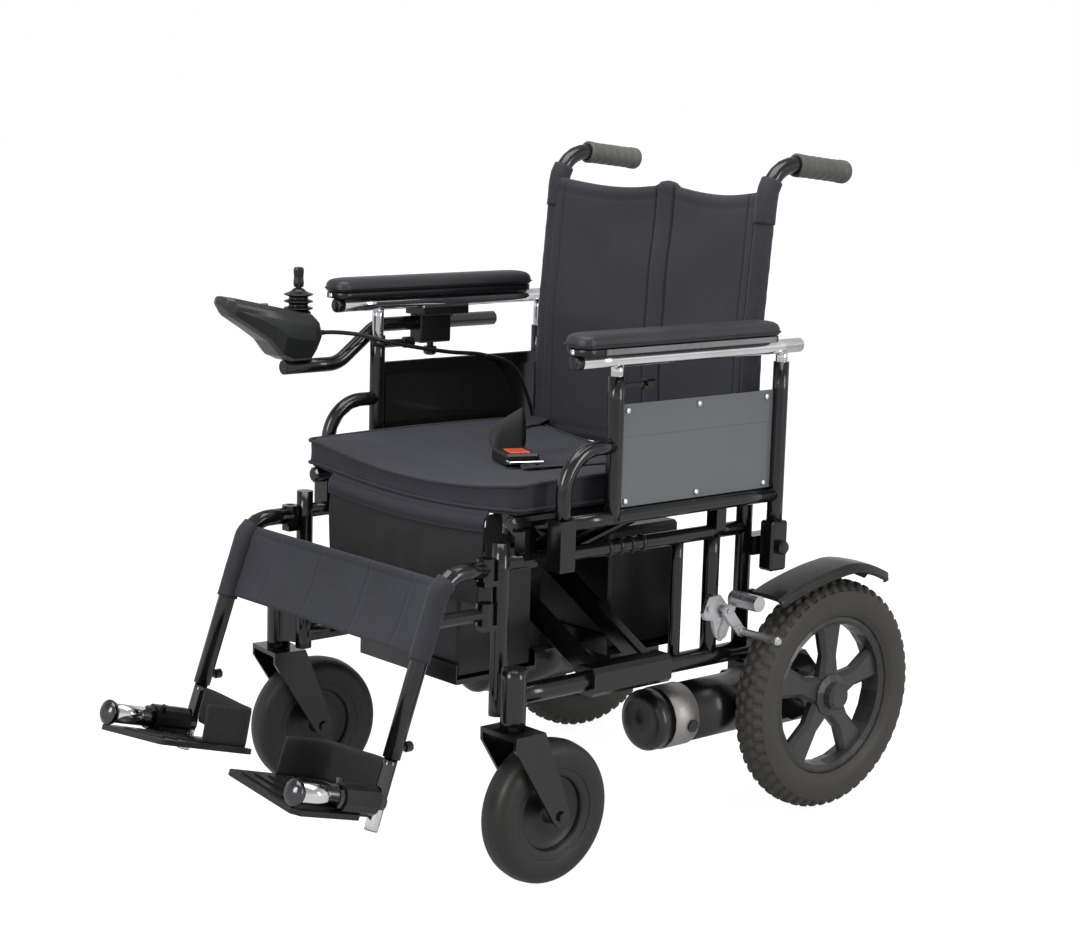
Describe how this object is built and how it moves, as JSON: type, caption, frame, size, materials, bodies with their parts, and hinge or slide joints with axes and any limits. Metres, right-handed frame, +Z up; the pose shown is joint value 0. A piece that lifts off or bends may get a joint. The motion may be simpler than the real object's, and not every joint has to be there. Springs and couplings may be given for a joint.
{
  "type": "folding power wheelchair",
  "caption": "Folding power wheelchair with a scissor-braced tube frame, swing-away footrests, flip-back arms, a lap belt and a joystick on the right arm.",
  "frame": {"origin": "on the floor, under the centre of the bounding box", "axes": "+X to the sitter's left, -Y to the front, +Z up"},
  "size_m": [0.609, 1.0435, 0.9098],
  "materials": {
    "black_paint": "gloss black enamel on steel tube",
    "chrome": "bright chrome plate",
    "aluminium": "bright, lightly brushed",
    "nylon": "dark navy-grey woven nylon with bound, stitched edges",
    "vinyl": "black padded vinyl",
    "tyre_rubber": "dark grey tyre rubber",
    "grip_rubber": "grey-black moulded grips",
    "grey_plastic": "dark grey moulded",
    "black_plastic": "black moulded",
    "guard_plastic": "mid grey sheet",
    "button_red": "orange-red",
    "button_grey": "grey"
  },
  "bodies": {
    "right_side": {"right_frame": "black_paint", "right_grip": "grip_rubber", "right_fender": "black_plastic", "right_motor": "black_paint", "right_lock_base": "aluminium", "back_upholstery": "nylon"},
    "right_scissor": {"right_brace": "black_paint", "brace_bolt": "aluminium"},
    "left_scissor": {"left_brace": "black_paint"},
    "left_side": {"left_frame": "black_paint", "left_grip": "grip_rubber", "left_fender": "black_plastic", "left_motor": "black_paint", "left_lock_base": "aluminium"},
    "seat": {"seat_sling": "nylon", "seat_cushion": "nylon", "belt_buckle": "black_plastic", "belt_tongue": "chrome", "left_lap_strap": "nylon", "right_lap_strap": "nylon"},
    "belt_release": {"belt_button": "button_red"},
    "battery_tray": {"battery_cradle": "black_paint", "front_battery": "black_plastic", "rear_battery": "black_plastic"},
    "left_drive_wheel": {"left_tyre": "tyre_rubber", "left_mag_wheel": "grey_plastic"},
    "left_caster_swivel": {"left_caster_fork": "black_paint"},
    "left_caster": {"left_caster_wheel": "tyre_rubber"},
    "left_swing_hanger": {"left_hanger": "black_paint"},
    "left_footrest": {"left_foot_tube": "chrome", "left_heel_loop": "nylon"},
    "left_plate": {"left_footplate": "black_plastic"},
    "left_flip_arm": {"left_arm_frame": "black_paint", "left_skirt_guard": "guard_plastic"},
    "left_arm_top": {"left_arm_tube": "chrome", "left_arm_pad": "vinyl"},
    "left_hand_lever": {"left_lock_lever": "aluminium"},
    "left_brake_arm": {"left_lock_shoe": "aluminium"},
    "right_drive_wheel": {"right_tyre": "tyre_rubber", "right_mag_wheel": "grey_plastic"},
    "right_caster_swivel": {"right_caster_fork": "black_paint"},
    "right_caster": {"right_caster_wheel": "tyre_rubber"},
    "right_swing_hanger": {"right_hanger": "black_paint", "calf_strap": "nylon"},
    "right_footrest": {"right_foot_tube": "chrome", "right_heel_loop": "nylon"},
    "right_plate": {"right_footplate": "black_plastic"},
    "right_flip_arm": {"right_arm_frame": "black_paint", "right_skirt_guard": "guard_plastic", "controller_cable": "black_plastic"},
    "right_arm_top": {"right_arm_tube": "chrome", "right_arm_pad": "vinyl"},
    "right_hand_lever": {"right_lock_lever": "aluminium"},
    "right_brake_arm": {"right_lock_shoe": "aluminium"},
    "controller": {"joystick_mount": "black_paint", "controller_pod": "black_plastic", "joystick_gaiter": "black_plastic"},
    "gimbal": {"joystick_gimbal": "aluminium"},
    "stick": {"joystick_stick": "grey_plastic"},
    "power": {"power_button": "button_grey"}
  },
  "joints": [
    {"name": "fold", "type": "hinge", "parent": "right_side", "child": "right_scissor", "pos_m": [-0.208, 0.013, 0.2345], "axis": [0, -1, 0], "range_deg": [0, 27], "deforming": ["seat_cushion", "seat_sling", "back_upholstery", "calf_strap", "left_lap_strap", "right_lap_strap"]},
    {"name": "brace_cross", "type": "hinge", "parent": "right_scissor", "child": "left_scissor", "pos_m": [0, 0.013, 0.34475], "axis": [0, -1, 0], "range_deg": [-54, 0]},
    {"name": "left_rail_turn", "type": "hinge", "parent": "left_scissor", "child": "left_side", "pos_m": [0.208, 0.013, 0.2345], "axis": [0, -1, 0], "range_deg": [0, 27]},
    {"name": "seat_rail_turn", "type": "hinge", "parent": "right_scissor", "child": "seat", "pos_m": [0.208, 0.013, 0.455], "axis": [0, -1, 0], "range_deg": [-27, 0]},
    {"name": "battery_hang", "type": "hinge", "parent": "right_scissor", "child": "battery_tray", "pos_m": [0, 0.013, 0.34475], "axis": [0, -1, 0], "range_deg": [-27, 0]},
    {"name": "belt_release_push", "type": "slide", "parent": "seat", "child": "belt_release", "axis": [0, 0, -1], "range_m": [0, 0.0025], "stiffness_N_per_m": 400, "springref_m": -0.001},
    {"name": "left_drive_wheel_roll", "type": "hinge", "parent": "left_side", "child": "left_drive_wheel", "pos_m": [0.2505, 0.3593, 0.1625], "axis": [1, 0, 0], "continuous": true},
    {"name": "left_caster_turn", "type": "hinge", "parent": "left_side", "child": "left_caster_swivel", "pos_m": [0.2515, -0.2153, 0.2085], "axis": [0, 0, 1], "continuous": true},
    {"name": "left_caster_roll", "type": "hinge", "parent": "left_caster_swivel", "child": "left_caster", "pos_m": [0.2515, -0.1597, 0.0932], "axis": [1, 0, 0], "continuous": true},
    {"name": "left_hanger_swing", "type": "hinge", "parent": "left_side", "child": "left_swing_hanger", "pos_m": [0.208, -0.228, 0.403], "axis": [0, 0, 1], "range_deg": [0, 100], "deforming": ["calf_strap"]},
    {"name": "left_footrest_height", "type": "slide", "parent": "left_swing_hanger", "child": "left_footrest", "axis": [0, -0.3256, -0.9455], "range_m": [0, 0.08]},
    {"name": "left_plate_flip", "type": "hinge", "parent": "left_footrest", "child": "left_plate", "pos_m": [0.208, -0.515, 0.173], "axis": [0, 0.9636, -0.2672], "range_deg": [0, 84], "deforming": ["left_heel_loop"]},
    {"name": "left_arm_flip", "type": "hinge", "parent": "left_side", "child": "left_flip_arm", "pos_m": [0.2465, 0.247, 0.385], "axis": [-1, 0, 0], "range_deg": [0, 92]},
    {"name": "left_arm_height", "type": "slide", "parent": "left_flip_arm", "child": "left_arm_top", "axis": [0, 0, 1], "range_m": [0, 0.075]},
    {"name": "left_lock_push", "type": "hinge", "parent": "left_side", "child": "left_hand_lever", "pos_m": [0.21846, 0.178, 0.3], "axis": [-1, 0, 0], "range_deg": [0, 75]},
    {"name": "left_brake_turn", "type": "hinge", "parent": "left_side", "child": "left_brake_arm", "pos_m": [0.21846, 0.176, 0.268], "axis": [-1, 0, 0], "range_deg": [0, 56.12]},
    {"name": "right_drive_wheel_roll", "type": "hinge", "parent": "right_side", "child": "right_drive_wheel", "pos_m": [-0.2505, 0.3593, 0.1625], "axis": [1, 0, 0], "continuous": true},
    {"name": "right_caster_turn", "type": "hinge", "parent": "right_side", "child": "right_caster_swivel", "pos_m": [-0.2515, -0.2153, 0.2085], "axis": [0, 0, 1], "continuous": true},
    {"name": "right_caster_roll", "type": "hinge", "parent": "right_caster_swivel", "child": "right_caster", "pos_m": [-0.24424, -0.16018, 0.0932], "axis": [0.9914, -0.1305, 0], "continuous": true},
    {"name": "right_hanger_swing", "type": "hinge", "parent": "right_side", "child": "right_swing_hanger", "pos_m": [-0.208, -0.228, 0.403], "axis": [0, 0, -1], "range_deg": [0, 100], "deforming": ["calf_strap"]},
    {"name": "right_footrest_height", "type": "slide", "parent": "right_swing_hanger", "child": "right_footrest", "axis": [0, -0.3256, -0.9455], "range_m": [0, 0.08]},
    {"name": "right_plate_flip", "type": "hinge", "parent": "right_footrest", "child": "right_plate", "pos_m": [-0.208, -0.515, 0.173], "axis": [0, -0.9636, 0.2672], "range_deg": [0, 84], "deforming": ["right_heel_loop"]},
    {"name": "right_arm_flip", "type": "hinge", "parent": "right_side", "child": "right_flip_arm", "pos_m": [-0.2465, 0.247, 0.385], "axis": [-1, 0, 0], "range_deg": [0, 92], "deforming": ["controller_cable"]},
    {"name": "right_arm_height", "type": "slide", "parent": "right_flip_arm", "child": "right_arm_top", "axis": [0, 0, 1], "range_m": [-0.025, 0.05], "deforming": ["controller_cable"]},
    {"name": "right_lock_push", "type": "hinge", "parent": "right_side", "child": "right_hand_lever", "pos_m": [-0.21846, 0.178, 0.3], "axis": [-1, 0, 0], "range_deg": [0, 75]},
    {"name": "right_brake_turn", "type": "hinge", "parent": "right_side", "child": "right_brake_arm", "pos_m": [-0.21846, 0.176, 0.268], "axis": [-1, 0, 0], "range_deg": [0, 56.12]},
    {"name": "controller_reach", "type": "slide", "parent": "right_arm_top", "child": "controller", "axis": [0, 1, 0], "range_m": [-0.06, 0.01], "deforming": ["controller_cable"]},
    {"name": "joystick_forward", "type": "hinge", "parent": "controller", "child": "gimbal", "pos_m": [-0.2685, -0.1753, 0.6655], "axis": [1, 0, 0], "range_deg": [-18, 18], "stiffness_Nm_per_rad": 0.15, "deforming": ["joystick_gaiter"]},
    {"name": "joystick_sideways", "type": "hinge", "parent": "gimbal", "child": "stick", "pos_m": [-0.2685, -0.1753, 0.6655], "axis": [0, 1, 0], "range_deg": [-18, 18], "stiffness_Nm_per_rad": 0.15, "deforming": ["joystick_gaiter"]},
    {"name": "power_push", "type": "slide", "parent": "controller", "child": "power", "axis": [0, 0, -1], "range_m": [0, 0.0018], "stiffness_N_per_m": 400, "springref_m": -0.001}
  ],
  "couplings": [
    {"joint": "brace_cross", "follows": "fold", "ratio": -2},
    {"joint": "left_rail_turn", "follows": "fold", "ratio": 1},
    {"joint": "seat_rail_turn", "follows": "fold", "ratio": -1},
    {"joint": "battery_hang", "follows": "fold", "ratio": -1},
    {"joint": "left_brake_turn", "follows": "left_lock_push", "ratio": 0.747},
    {"joint": "right_brake_turn", "follows": "right_lock_push", "ratio": 0.747}
  ]
}
